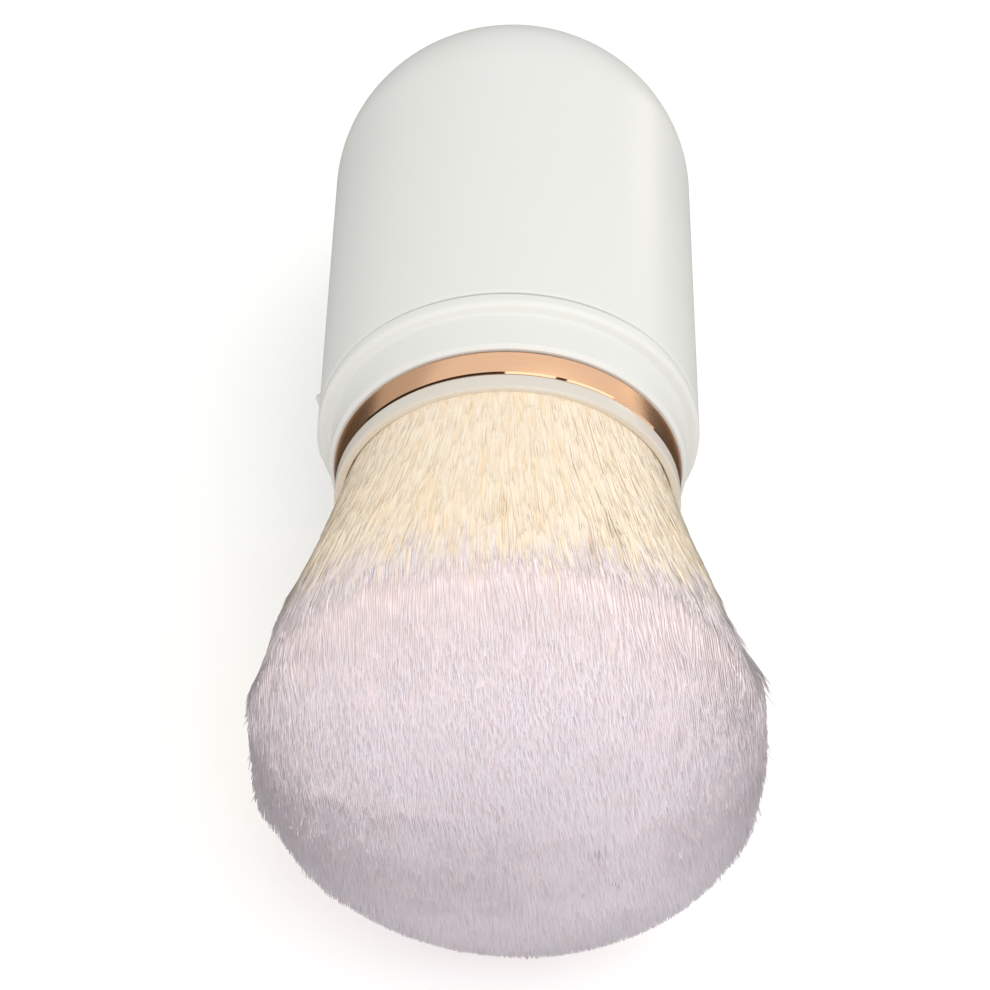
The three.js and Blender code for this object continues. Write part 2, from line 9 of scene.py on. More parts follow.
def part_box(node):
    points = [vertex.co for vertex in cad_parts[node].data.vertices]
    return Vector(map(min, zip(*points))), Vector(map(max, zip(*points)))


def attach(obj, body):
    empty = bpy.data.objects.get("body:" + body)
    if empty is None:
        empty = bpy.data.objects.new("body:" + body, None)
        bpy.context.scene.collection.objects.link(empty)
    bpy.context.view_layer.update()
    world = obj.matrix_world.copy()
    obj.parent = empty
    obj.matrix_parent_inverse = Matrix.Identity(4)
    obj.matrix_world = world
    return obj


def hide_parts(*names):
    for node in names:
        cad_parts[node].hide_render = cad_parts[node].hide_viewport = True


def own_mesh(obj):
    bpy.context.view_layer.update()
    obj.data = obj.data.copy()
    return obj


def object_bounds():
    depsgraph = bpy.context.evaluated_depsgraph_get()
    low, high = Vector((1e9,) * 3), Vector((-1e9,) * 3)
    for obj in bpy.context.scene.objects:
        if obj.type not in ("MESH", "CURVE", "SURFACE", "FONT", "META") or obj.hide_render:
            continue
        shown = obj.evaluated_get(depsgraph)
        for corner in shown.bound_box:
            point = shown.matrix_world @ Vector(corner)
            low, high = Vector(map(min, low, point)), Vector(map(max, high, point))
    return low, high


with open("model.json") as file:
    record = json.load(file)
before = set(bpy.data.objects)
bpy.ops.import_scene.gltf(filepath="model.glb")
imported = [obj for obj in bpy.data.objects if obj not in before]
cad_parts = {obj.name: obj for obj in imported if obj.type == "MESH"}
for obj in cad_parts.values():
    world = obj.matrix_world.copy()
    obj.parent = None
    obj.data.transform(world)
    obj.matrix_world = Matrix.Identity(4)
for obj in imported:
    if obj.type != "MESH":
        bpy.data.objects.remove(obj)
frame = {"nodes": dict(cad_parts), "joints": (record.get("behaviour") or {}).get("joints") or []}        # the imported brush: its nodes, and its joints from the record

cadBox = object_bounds()
scene = bpy.context.scene
scene.view_settings.view_transform = "Standard"
mm = 0.001

# The brush lies along Y. Places run back from the front plane of the lip, in millimetres, and a turned
# piece is given by distances from the axis, which lies at axisHeight.
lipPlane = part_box("mouth_bezel")[0].y
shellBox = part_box("body_shell")
axisHeight = (shellBox[0].z + shellBox[1].z) / 2
joints = {joint["name"]: joint for joint in frame["joints"]}
slideTravel = joints["brush_slide"]["range_m"][1] / mm
buttonOutward = -Vector(joints["button_press"]["axis"]).normalized()
buttonAngle = math.atan2(buttonOutward.z, buttonOutward.x)


def frontOf(nodeName):
    return (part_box(nodeName)[0].y - lipPlane) / mm


def backOf(nodeName):
    return (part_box(nodeName)[1].y - lipPlane) / mm


def radiusOf(nodeName):
    low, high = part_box(nodeName)
    return (high.z - low.z) / 2 / mm


def at(radius, place, angle):
    x = radius * math.cos(angle) * mm
    z = radius * math.sin(angle) * mm
    return Vector((x, lipPlane + place * mm, axisHeight + z))


def placed(name, data):
    made = bpy.data.objects.new(name, data)
    scene.collection.objects.link(made)
    return made


# Camera

cameraView = {
    "position": (-1.23, -198.24, 232.53),   # millimetres
    "elevation": 47.745,
    "roll": 1.218,
    "lens": 105.3,
    "sensor": 36,
    "clipStart": 0.01,                      # metres
    "clipEnd": 20,
}


def makeCamera(view):
    data = bpy.data.cameras.new("camera")
    data.lens = view["lens"]
    data.sensor_width = view["sensor"]
    data.clip_start = view["clipStart"]
    data.clip_end = view["clipEnd"]
    camera = placed("camera", data)
    tilt = Matrix.Rotation(math.radians(90 - view["elevation"]), 4, "X")
    roll = Matrix.Rotation(math.radians(view["roll"]), 4, "Z")
    camera.matrix_world = Matrix.Translation(Vector(view["position"]) * mm) @ tilt @ roll
    scene.camera = camera


makeCamera(cameraView)
print("stage: camera")


# Node trees

def feed(tree, target, inputs):     # a value that is a socket is linked, any other is set
    for socket, value in inputs.items():
        if isinstance(value, bpy.types.NodeSocket):
            tree.links.new(value, target.inputs[socket])
        else:
            target.inputs[socket].default_value = value


def node(tree, kind, inputs=None, **settings):
    made = tree.nodes.new(kind)
    for name, value in settings.items():
        setattr(made, name, value)
    feed(tree, made, inputs or {})
    return made


class Sums:                 # adds arithmetic nodes to a tree
    def __init__(self, tree):
        self.tree = tree

    def calc(self, operation, *values, clamp=False):
        inputs = dict(enumerate(values))
        return node(self.tree, "ShaderNodeMath", inputs, operation=operation, use_clamp=clamp).outputs[0]

    def chain(self, operation, *values):
        total = values[0]
        for value in values[1:]:
            total = self.calc(operation, total, value)
        return total

    def add(self, *values):
        return self.chain("ADD", *values)

    def times(self, *values):
        return self.chain("MULTIPLY", *values)

    def highest(self, *values):
        return self.chain("MAXIMUM", *values)

    def lowest(self, *values):
        return self.chain("MINIMUM", *values)

    def less(self, a, b):
        return self.calc("SUBTRACT", a, b)

    def ratio(self, a, b):
        return self.calc("DIVIDE", a, b)

    def power(self, a, b):
        return self.calc("POWER", a, b)

    def root(self, a):
        return self.power(a, 0.5)

    def centred(self, a):       # a noise or chance from 0 to 1, moved to lie about 0
        return self.less(a, 0.5)

    def mix(self, share, a, b):
        return self.add(a, self.times(share, self.less(b, a)))

    def vector(self, operation, *values):
        made = node(self.tree, "ShaderNodeVectorMath", dict(enumerate(values)), operation=operation)
        return made.outputs["Vector"]

    def point(self, *values):
        return node(self.tree, "ShaderNodeCombineXYZ", dict(enumerate(values))).outputs[0]

    def parts(self, value):
        return node(self.tree, "ShaderNodeSeparateXYZ", {0: value}).outputs

    def ramp(self, value, low, high):
        inputs = {"Value": value, "From Min": low, "From Max": high}
        made = node(self.tree, "ShaderNodeMapRange", inputs, interpolation_type="SMOOTHSTEP")
        return made.outputs["Result"]

    def random(self, index, seed):
        inputs = {"ID": index, "Seed": seed}
        return node(self.tree, "FunctionNodeRandomValue", inputs, data_type="FLOAT").outputs[1]


# Studio

studio = {
    "floorSize": 6,
    "floorColor": (0.93, 0.93, 0.92),
    "floorLift": 0.2,
    "floorBounce": (0.86, 0.85, 0.85),
    "ambient": (0.72, 0.72, 0.72),
    "background": (1, 1, 1),
    "aim": (0, 0, 0.02),
}
lamps = {                   # sizes and positions in metres
    "keyLamp": {"power": 2.7, "size": 1.2, "position": (0.35, -0.15, 0.75), "mirrored": True},
    "fillLamp": {"power": 1.3, "size": 0.6, "position": (-0.55, -0.75, 0.3), "mirrored": False},
    "frontLamp": {"power": 1.3, "size": 1.0, "position": (0.1, -0.9, 0.3), "mirrored": True},
    "sideLamp": {"power": 0.5, "size": 0.5, "position": (0.6, -0.65, 0.25), "mirrored": False},
}
nearBlack = (0.05, 0.04, 0.035)
boards = {                  # seen only in glossy reflections: turns in degrees, middles and sizes in metres
    "darkTable": {
        "middle": (-0.25, 0.15, 0.00005), "turn": (0, 0, 0), "size": (1.5, 0.9), "shade": (0.12, 0.11, 0.1),
    },
    "greyLeft": {
        "middle": (-0.4, 0.45, 0.2), "turn": (90, 0, 42), "size": (0.75, 0.4), "shade": (0.62, 0.6, 0.58),
    },
    "darkAbove": {
        "middle": (-0.63, -0.2, 0.6), "turn": (0, 0, 0), "size": (1.2, 0.5), "shade": nearBlack,
    },
    "darkLeft": {
        "middle": (-0.9, -0.3, 0.3), "turn": (90, 0, 90), "size": (1.4, 0.6), "shade": nearBlack,
    },
    "darkSpot": {
        "middle": (0.335, -0.22, 0.6), "turn": (0, 0, 0), "size": (0.09, 0.2), "shade": nearBlack,
    },
    "brightRight": {
        "middle": (0.23, 0.28, 0.02), "turn": (90, 0, -40), "size": (0.05, 0.04), "shade": (9, 8, 6.5),
    },
    "paleRight": {
        "middle": (0.36, 0.27, 0.09), "turn": (90, 0, -53), "size": (0.08, 0.06), "shade": (1.3, 1.25, 1.2),
    },
}


def seenDirectly(tree):     # 1 for camera, glossy and transmission rays
    path = node(tree, "ShaderNodeLightPath").outputs
    return Sums(tree).highest(path["Is Camera Ray"], path["Is Glossy Ray"], path["Is Transmission Ray"])


def makeWorld():
    world = bpy.data.worlds.new("studioWorld")
    world.use_nodes = True
    tree = world.node_tree
    tree.nodes.clear()
    ambient = node(tree, "ShaderNodeBackground", {"Color": (*studio["ambient"], 1)})
    backdrop = node(tree, "ShaderNodeBackground", {"Color": (*studio["background"], 1)})
    shades = {0: seenDirectly(tree), 1: ambient.outputs[0], 2: backdrop.outputs[0]}
    mix = node(tree, "ShaderNodeMixShader", shades)
    node(tree, "ShaderNodeOutputWorld", {"Surface": mix.outputs[0]})
    scene.world = world


def bareMaterial(name):
    material = bpy.data.materials.new(name)
    material.use_nodes = True
    material.node_tree.nodes.clear()
    return material, material.node_tree


def makeStageSheet(name, corners, material):
    mesh = bpy.data.meshes.new(name)
    mesh.from_pydata(corners, [], [(0, 1, 2, 3)])
    mesh.materials.append(material)
    sheet = placed(name, mesh)
    return sheet


def makeFloor():
    material, tree = bareMaterial("paleFloor")
    pale = node(tree, "ShaderNodeBsdfDiffuse", {"Color": (*studio["floorColor"], 1)})
    glow = node(tree, "ShaderNodeEmission", {"Strength": studio["floorLift"]})
    seen = node(tree, "ShaderNodeAddShader", {0: pale.outputs[0], 1: glow.outputs[0]})
    bounce = node(tree, "ShaderNodeBsdfDiffuse", {"Color": (*studio["floorBounce"], 1)})
    shades = {0: seenDirectly(tree), 1: bounce.outputs[0], 2: seen.outputs[0]}
    both = node(tree, "ShaderNodeMixShader", shades)
    node(tree, "ShaderNodeOutputMaterial", {"Surface": both.outputs[0]})
    half = studio["floorSize"] / 2
    corners = [(-half, -half, 0), (half, -half, 0), (half, half, 0), (-half, half, 0)]
    makeStageSheet("floor", corners, material)


def makeLamp(name, look):
    data = bpy.data.lights.new(name, "AREA")
    data.shape = "DISK"
    data.size = look["size"]
    data.energy = look["power"]
    lamp = placed(name, data)
    lamp.location = look["position"]
    toAim = Vector(studio["aim"]) - Vector(look["position"])
    lamp.rotation_euler = toAim.to_track_quat("-Z", "Y").to_euler()
    lamp.visible_glossy = look["mirrored"]


def makeBoard(name, board):
    material, tree = bareMaterial(name)
    glow = node(tree, "ShaderNodeEmission", {"Color": (*board["shade"], 1)})
    node(tree, "ShaderNodeOutputMaterial", {"Surface": glow.outputs[0]})
    halfWidth, halfHeight = board["size"][0] / 2, board["size"][1] / 2
    turn = Euler([math.radians(angle) for angle in board["turn"]]).to_matrix().to_4x4()
    stand = Matrix.Translation(board["middle"]) @ turn
    signs = ((-1, -1), (1, -1), (1, 1), (-1, 1))
    corners = [stand @ Vector((halfWidth * x, halfHeight * y, 0)) for x, y in signs]
    sheet = makeStageSheet(name, corners, material)
    sheet.visible_camera = False
    sheet.visible_diffuse = False
    sheet.visible_transmission = False
    sheet.visible_shadow = False


makeWorld()
makeFloor()
for boardName, board in boards.items():
    makeBoard(boardName, board)
for lampName, lampLook in lamps.items():
    makeLamp(lampName, lampLook)
print("stage: studio")


# Materials

def groupOf(name, inputs, outputs):
    group = bpy.data.node_groups.new(name, "ShaderNodeTree")
    for label, value in inputs.items():
        socket = group.interface.new_socket(name=label, in_out="INPUT", socket_type="NodeSocketFloat")
        socket.default_value = value
    for label in outputs:
        group.interface.new_socket(name=label, in_out="OUTPUT", socket_type="NodeSocketFloat")
    return group, node(group, "NodeGroupInput").outputs, node(group, "NodeGroupOutput")


def shadedMaterial(name):
    material = bpy.data.materials.new(name)
    material.use_nodes = True
    tree = material.node_tree
    return material, tree, tree.nodes["Principled BSDF"]


def tinted(tree, color, shift):     # a constant colour, made a little lighter or darker
    made = node(tree, "ShaderNodeBrightContrast", {"Color": (*color, 1), "Bright": shift})
    return made.outputs["Color"]


def bumped(tree, height, strength, distance):
    made = node(tree, "ShaderNodeBump", {"Strength": strength, "Distance": distance * mm, "Height": height})
    return made.outputs["Normal"]


moulding = {
    "grainDetail": 2,
    "cloudDetail": 4,
    "roughnessPerCloud": 3,
    "bumpStrength": 0.25,
}


def makeMouldedGrain():     # the fine grain and faint cloudiness of a moulded surface
    sizes = {"Grain Scale": 4000, "Cloud Scale": 60, "Cloudiness": 0.03}
    group, given, result = groupOf("mouldedGrain", sizes, ("Height", "Cloud", "Roughness Shift"))
    sums = Sums(group)
    places = node(group, "ShaderNodeTexCoord").outputs["Object"]
    grainLook = {"Vector": places, "Scale": given["Grain Scale"], "Detail": moulding["grainDetail"]}
    cloudLook = {"Vector": places, "Scale": given["Cloud Scale"], "Detail": moulding["cloudDetail"]}
    grain = node(group, "ShaderNodeTexNoise", grainLook).outputs["Fac"]
    cloud = node(group, "ShaderNodeTexNoise", cloudLook).outputs["Fac"]
    clouded = sums.times(sums.centred(cloud), given["Cloudiness"])
    shift = sums.times(clouded, moulding["roughnessPerCloud"])
    feed(group, result, {"Height": grain, "Cloud": clouded, "Roughness Shift": shift})
    return group


mouldedGrain = makeMouldedGrain()

plastics = {
    "satinWhite": {
        "color": (0.79, 0.79, 0.755), "roughness": 0.42,
        "bump": 0.006, "grain": 5200, "cloud": 0.02,
    },
    "milkyLip": {
        "color": (0.72, 0.665, 0.585), "roughness": 0.3,
        "bump": 0.003, "grain": 5200, "cloud": 0.02,
    },
    "plainGuide": {
        "color": (0.72, 0.725, 0.72), "roughness": 0.5,
        "bump": 0.01, "grain": 3600, "cloud": 0.05,
    },
}


def makePlastic(name):
    look = plastics[name]
    material, tree, shader = shadedMaterial(name)
    sizes = {"Grain Scale": look["grain"], "Cloudiness": look["cloud"]}
    grain = node(tree, "ShaderNodeGroup", sizes, node_tree=mouldedGrain).outputs
    feed(tree, shader, {
        "Base Color": tinted(tree, look["color"], grain["Cloud"]),
        "Roughness": Sums(tree).add(grain["Roughness Shift"], look["roughness"]),
        "Normal": bumped(tree, grain["Height"], moulding["bumpStrength"], look["bump"]),
    })
    return material


satinWhite = makePlastic("satinWhite")
milkyLip = makePlastic("milkyLip")
plainGuide = makePlastic("plainGuide")

metals = {
    "roseGold": {
        "color": (0.80, 0.50, 0.31), "rim": (0.8, 0.62, 0.5),
        "roughness": 0.26, "polished": 0.06, "lines": 900, "depth": 0.004,
    },
    "drawnAluminium": {
        "color": (0.8, 0.8, 0.79), "rim": (1, 1, 1),
        "roughness": 0.32, "polished": 0.32, "lines": 500, "depth": 0.004,
    },
    "springSteel": {
        "color": (0.55, 0.55, 0.56), "rim": (1, 1, 1),
        "roughness": 0.25, "polished": 0.25, "lines": 700, "depth": 0.003,
    },
}
brushStrokes = {
    "stretch": (0.012, 1, 0.012),
    "detail": 5,
    "roughness": 0.7,
    "scalePerLine": 20,
    "streakShare": 0.12,
    "bumpStrength": 0.3,
}


def makeBrushing():         # fine lines that run round the axis, with a mask for what lies between two places
    sizes = {"Line Scale": 900, "Front Edge": 0, "Back Edge": 1, "Edge Width": 0.00005}
    group, given, result = groupOf("brushing", sizes, ("Height", "Streak", "Brushed"))
    sums = Sums(group)
    places = node(group, "ShaderNodeTexCoord").outputs["Object"]
    stretched = node(group, "ShaderNodeMapping", {"Vector": places, "Scale": brushStrokes["stretch"]})
    lines = node(group, "ShaderNodeTexNoise", {
        "Vector": stretched.outputs["Vector"],
        "Scale": sums.times(given["Line Scale"], brushStrokes["scalePerLine"]),
        "Detail": brushStrokes["detail"],
        "Roughness": brushStrokes["roughness"],
    }).outputs["Fac"]
    place = sums.parts(places)["Y"]
    behind = [
        sums.ramp(place, given[edge], sums.add(given[edge], given["Edge Width"]))
        for edge in ("Front Edge", "Back Edge")
    ]
    feed(group, result, {"Height": lines, "Streak": sums.centred(lines), "Brushed": sums.less(*behind)})
    return group


brushing = makeBrushing()


def makeMetal(name, front, back):       # brushed from front to back, polished beyond them
    look = metals[name]
    material, tree, shader = shadedMaterial(name)
    sums = Sums(tree)
    sizes = {"Line Scale": look["lines"], "Front Edge": front, "Back Edge": back}
    lines = node(tree, "ShaderNodeGroup", sizes, node_tree=brushing).outputs
    streak = sums.times(lines["Streak"], brushStrokes["streakShare"])
    span = {"Value": lines["Brushed"], "To Min": look["polished"], "To Max": look["roughness"]}
    height = sums.times(lines["Height"], lines["Brushed"])
    feed(tree, shader, {
        "Metallic": 1,
        "Specular Tint": (*look["rim"], 1),
        "Base Color": tinted(tree, look["color"], streak),
        "Roughness": node(tree, "ShaderNodeMapRange", span).outputs["Result"],
        "Normal": bumped(tree, height, brushStrokes["bumpStrength"], look["depth"]),
    })
    return material


ringBevel = 0.2             # how far the ring is polished at its front and back edges, in millimetres
ringEdge = 0.25
brushedFrom = lipPlane + (frontOf("trim_ring") + ringBevel) * mm
brushedTo = lipPlane + (backOf("trim_ring") - ringEdge) * mm
whole = (cadBox[0].y - mm, cadBox[1].y + mm)
roseGold = makeMetal("roseGold", brushedFrom, brushedTo)
drawnAluminium = makeMetal("drawnAluminium", *whole)
springSteel = makeMetal("springSteel", *whole)
print("stage: plastics and metals")


# Turned pieces

turned = {
    "sides": 192,
    "roundSteps": 6,
    "sharpAngle": 38,
    "onAxis": 1e-6,         # millimetres
    "weld": 1e-7,           # metres
}


def arcBetween(corner, before, after, radius):
    here = Vector(corner)
    toBefore = (Vector(before) - here).normalized()
    toAfter = (Vector(after) - here).normalized()
    half = toBefore.angle(toAfter) / 2
    reach = radius / math.tan(half)
    middle = here + (toBefore + toAfter).normalized() * (radius / math.sin(half))
    start = here + toBefore * reach - middle
    end = here + toAfter * reach - middle
    steps = turned["roundSteps"]
    return [tuple(middle + start.slerp(end, i / steps).normalized() * radius) for i in range(steps + 1)]


def softened(corners):      # corners are (distance from axis, place) or the same with a rounding radius
    outline = []
    count = len(corners)
    for i, corner in enumerate(corners):
        if len(corner) == 2:
            outline.append(tuple(corner))
            continue
        before = corners[i - 1][:2]
        after = corners[(i + 1) % count][:2]
        outline += arcBetween(corner[:2], before, after, corner[2])
    return outline


def finished(name, mesh, material, body, nodeName):
    mesh.materials.clear()
    mesh.materials.append(material)
    piece = placed(name, mesh)
    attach(piece, body)
    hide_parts(nodeName)
    return piece


def plainMesh(bm, name):
    mesh = bpy.data.meshes.new(name)
    bm.to_mesh(mesh)
    bm.free()
    return mesh


def smoothMesh(bm, name):   # smooth faces, with the edges of real corners kept sharp
    limit = math.radians(turned["sharpAngle"])
    for face in bm.faces:
        face.smooth = True
    for edge in bm.edges:
        if len(edge.link_faces) == 2:
            edge.smooth = edge.calc_face_angle(0) < limit
    return plainMesh(bm, name)


def revolve(outline):
    sides = turned["sides"]
    bm = bmesh.new()
    rings = []
    for radius, place in outline:
        if radius < turned["onAxis"]:
            rings.append([bm.verts.new(at(0, place, 0))])
        else:
            rings.append([bm.verts.new(at(radius, place, 2 * math.pi * i / sides)) for i in range(sides)])
    closed = outline[0][0] > turned["onAxis"]
    following = rings[1:] + rings[:1] if closed else rings[1:]
    for ring, after in zip(rings, following):
        for i in range(sides):
            j = (i + 1) % sides
            if len(ring) == 1:
                bm.faces.new((ring[0], after[i], after[j]))
            elif len(after) == 1:
                bm.faces.new((ring[i], after[0], ring[j]))
            else:
                bm.faces.new((ring[i], after[i], after[j], ring[j]))
    bmesh.ops.recalc_face_normals(bm, faces=bm.faces)
    return bm


def makeTurned(name, corners, material, nodeName):
    mesh = smoothMesh(revolve(softened(corners)), name)
    finished(name, mesh, material, "root", nodeName)


# Shell

shell = {
    "wall": 1.6,
    "edge": 0.3,
    "domeHeight": 17.4,
    "domeSteps": 40,
    "trackMargin": 0.4,
    "trackFloor": 18.0,
    "slotWidth": 3.4,
    "slotMargin": 0.3,
    "bossLength": 4,
    "trackEdge": 0.12,
    "cornerSteps": 10,
    "overrun": 1,
}
button = {
    "place": (frontOf("slider_button") + backOf("slider_button")) / 2,
    "width": 10.2,
    "length": backOf("slider_button") - frontOf("slider_button"),
    "corner": 2.2,
    "top": 20.3,
    "thickness": 0.8,
    "edge": 0.3,
    "ridgeHeight": 0.5,
    "ridgeLength": 2.4,
    "ridgeFlank": 0.5,
    "bossWidth": 2.8,
    "bossDrop": 1.6,
    "bossSteps": 8,
    "rounding": 0.12,
}
edgeBevel = {
    "segments": 2,
    "sharpAngle": 40,
}
shortOfHalf = 1e-3          # a fully round end's radius stays this much under half of its width


def domeOf(radius, height, start, steps):
    points = []
    for i in range(1, steps + 1):
        angle = math.pi / 2 * i / steps
        points.append((radius * math.cos(angle) if i < steps else 0, start + height * math.sin(angle)))
    return points


# side runs round the brush, and distance runs outwards along the button's axis
def buttonPoint(side, place, distance):
    along = Vector((-math.sin(buttonAngle), 0, math.cos(buttonAngle)))
    out = Vector((math.cos(buttonAngle), 0, math.sin(buttonAngle)))
    return Vector((0, lipPlane + place * mm, axisHeight)) + (along * side + out * distance) * mm


def roundedOutline(width, start, end, radius, steps):
    points = []
    middles = [(1, start + radius), (1, end - radius), (-1, end - radius), (-1, start + radius)]
    for quarter, (sideSign, place) in enumerate(middles):
        for i in range(steps + 1):
            angle = math.pi / 2 * (quarter - 1 + i / steps)
            side = sideSign * (width / 2 - radius) + radius * math.cos(angle)
            points.append((side, place + radius * math.sin(angle)))
    return points


def prism(outline, inner, outer):
    bm = bmesh.new()
    low = [bm.verts.new(buttonPoint(side, place, inner)) for side, place in outline]
    high = [bm.verts.new(buttonPoint(side, place, outer)) for side, place in outline]
    bm.faces.new(low)
    bm.faces.new(high)
    for i in range(len(low)):
        j = (i + 1) % len(low)
        bm.faces.new((low[i], low[j], high[j], high[i]))
    bmesh.ops.remove_doubles(bm, verts=bm.verts, dist=turned["weld"])
    bmesh.ops.recalc_face_normals(bm, faces=bm.faces)
    return bm


def asObject(bm, name):
    return placed(name, plainMesh(bm, name))


def evaluated(base):
    depsgraph = bpy.context.evaluated_depsgraph_get()
    return bpy.data.meshes.new_from_object(base.evaluated_get(depsgraph))


def combined(base, steps):  # steps are (operation, object): each object is used up
    for operation, other in steps:
        cut = base.modifiers.new("cut", "BOOLEAN")
        cut.operation = operation
        cut.solver = "EXACT"
        cut.object = other
        mesh = evaluated(base)
        base.modifiers.clear()
        base.data = mesh
        bpy.data.objects.remove(other)


def bevelled(base, width):
    bevel = base.modifiers.new("bevel", "BEVEL")
    bevel.width = width * mm
    bevel.segments = edgeBevel["segments"]
    bevel.limit_method = "ANGLE"
    bevel.angle_limit = math.radians(edgeBevel["sharpAngle"])
    mesh = evaluated(base)
    bpy.data.objects.remove(base)
    bm = bmesh.new()
    bm.from_mesh(mesh)
    bmesh.ops.remove_doubles(bm, verts=bm.verts, dist=turned["weld"])
    return bm


def makeTrack(radius):      # what is cut from the shell for the button to run in
    over = shell["overrun"]
    margin = shell["trackMargin"]
    front = button["place"] - button["length"] / 2 - margin
    back = button["place"] + slideTravel + button["length"] / 2 + margin
    width = button["width"] + 2 * margin
    shape = roundedOutline(width, front, back, button["corner"] + margin, shell["cornerSteps"])
    ring = [
        (shell["trackFloor"], front - over),
        (radius + over, front - over),
        (radius + over, back + over),
        (shell["trackFloor"], back + over),
    ]
    track = asObject(prism(shape, 0, radius + 2 * over), "track")
    combined(track, [("INTERSECT", asObject(revolve(ring), "trackRing"))])
    return track


def makeSlot(inner, radius):    # what is cut from the shell for the button's boss
    front = button["place"] - shell["bossLength"] / 2 - shell["slotMargin"]
    back = button["place"] + slideTravel + shell["bossLength"] / 2 + shell["slotMargin"]
    width = shell["slotWidth"]
    shape = roundedOutline(width, front, back, width / 2 - shortOfHalf, shell["cornerSteps"])
    return asObject(prism(shape, inner / 2, radius + shell["overrun"]), "slot")


def makeShell():
    radius = radiusOf("body_shell")
    front, back = frontOf("body_shell"), backOf("body_shell")
    inner = radius - shell["wall"]
    domePlace = back - shell["domeHeight"]
    steps = shell["domeSteps"]
    inside = domeOf(inner, shell["domeHeight"] - shell["wall"], domePlace, steps)
    outside = domeOf(radius, shell["domeHeight"], domePlace, steps)
    straight = [(inner, domePlace), (inner, front), (radius, front, shell["edge"]), (radius, domePlace)]
    body = asObject(revolve(inside[::-1] + softened(straight) + outside), "shellBlank")
    combined(body, [("DIFFERENCE", makeTrack(radius)), ("DIFFERENCE", makeSlot(inner, radius))])
    mesh = smoothMesh(bevelled(body, shell["trackEdge"]), "bodyShell")
    finished("bodyShell", mesh, satinWhite, "root", "body_shell")


makeShell()
print("stage: shell")


# Collar, lip and ring

collar = {
    "neckStep": 1.4,
    "neckLength": 4.3,
    "neckChamfer": 0.35,
    "neckEdge": 0.15,
    "neckFillet": 0.4,
    "flangeRound": 0.6,
    "flangeEdge": 0.25,
    "flangeLength": 1.45,
    "tailStep": 1.8,
    "boreFront": 16.3,
    "bore": 15.45,
    "counterbore": 8.4,
}
lip = {
    "rim": 0.8,
    "edge": 0.2,
    "outerEdge": 0.25,
    "backEdge": 0.15,
    "length": 1.7,
    "skirt": 16.1,
    "skirtWall": 0.65,
    "flareLength": 4.6,
}
ring = {
    "thickness": 0.55,
    "bevelDrop": 0.13,
    "flare": 0.3,
    "edge": 0.04,
}


def makeCollar():
    radius = radiusOf("neck_collar")
    front, back = frontOf("neck_collar"), backOf("neck_collar")
    neck = radius - collar["neckStep"]
    flangeFront = front + collar["neckLength"]
    flangeBack = flangeFront + collar["flangeLength"]
    tail = radius - collar["tailStep"]
    corners = [
        (collar["boreFront"], front),
        (neck - collar["neckChamfer"], front),
        (neck, front + collar["neckChamfer"], collar["neckEdge"]),
        (neck, flangeFront, collar["neckFillet"]),
        (radius, flangeFront, collar["flangeRound"]),
        (radius, flangeBack, collar["flangeEdge"]),
        (tail, flangeBack),
        (tail, back),
        (collar["bore"], back),
        (collar["bore"], collar["counterbore"]),
        (collar["boreFront"], collar["counterbore"]),
    ]
    makeTurned("neckCollar", corners, satinWhite, "neck_collar")


def makeLip():
    radius = radiusOf("mouth_bezel")
    back = backOf("mouth_bezel")
    inner = lip["skirt"] - lip["skirtWall"]
    corners = [
        (radius - lip["rim"], 0, lip["edge"]),
        (radius, 0, lip["outerEdge"]),
        (radius, lip["length"], lip["backEdge"]),
        (lip["skirt"], lip["length"]),
        (lip["skirt"], back),
        (inner, back),
        (inner, lip["flareLength"]),
    ]
    makeTurned("mouthLip", corners, milkyLip, "mouth_bezel")


def makeRing():
    radius = radiusOf("trim_ring")
    front, back = frontOf("trim_ring"), backOf("trim_ring")
    inner = radius - ring["thickness"]
    corners = [
        (inner, front),
        (radius - ring["bevelDrop"], front, ring["edge"]),
        (radius, front + ringBevel, ring["edge"]),
        (radius + ring["flare"], back, ringEdge),
        (inner, back),
    ]
    makeTurned("roseGoldRing", corners, roseGold, "trim_ring")


makeCollar()
makeLip()
makeRing()
print("stage: collar, lip and ring")


# Thumb button

def makeButton():
    front = button["place"] - button["length"] / 2
    back = button["place"] + button["length"] / 2
    top = button["top"]
    ridgeFront = back - button["ridgeLength"]
    under = top - button["thickness"]
    crown = top + button["ridgeHeight"]
    outline = softened([
        (under, front),
        (top, front, button["edge"]),
        (top, ridgeFront, button["edge"] / 2),
        (crown, ridgeFront + button["ridgeFlank"], button["edge"] / 2),
        (crown, back, button["edge"]),
        (under, back),
    ])
    band = asObject(revolve(outline), "buttonBand")
    padShape = roundedOutline(button["width"], front, back, button["corner"], shell["cornerSteps"])
    pad = asObject(prism(padShape, under / 2, crown + shell["overrun"]), "buttonPad")
    width = button["bossWidth"]
    bossFront = button["place"] - shell["bossLength"] / 2
    bossBack = bossFront + shell["bossLength"]
    bossShape = roundedOutline(width, bossFront, bossBack, width / 2 - shortOfHalf, button["bossSteps"])
    boss = asObject(prism(bossShape, under - button["bossDrop"], top - button["thickness"] / 2), "buttonBoss")
    combined(band, [("INTERSECT", pad), ("UNION", boss)])
    mesh = smoothMesh(bevelled(band, button["rounding"]), "thumbButton")
    finished("thumbButton", mesh, satinWhite, "thumb_button", "slider_button")


makeButton()
print("stage: button")


# Inner pieces keep their solids and get a finish of their own

innerFinishes = {
    "guide_sleeve": plainGuide,
    "carriage": plainGuide,
    "root_plug": plainGuide,
    "latch_post": plainGuide,
    "ferrule": drawnAluminium,
    "ferrule_screw": springSteel,
    "screw_washer": springSteel,
    "latch_clip": springSteel,
}

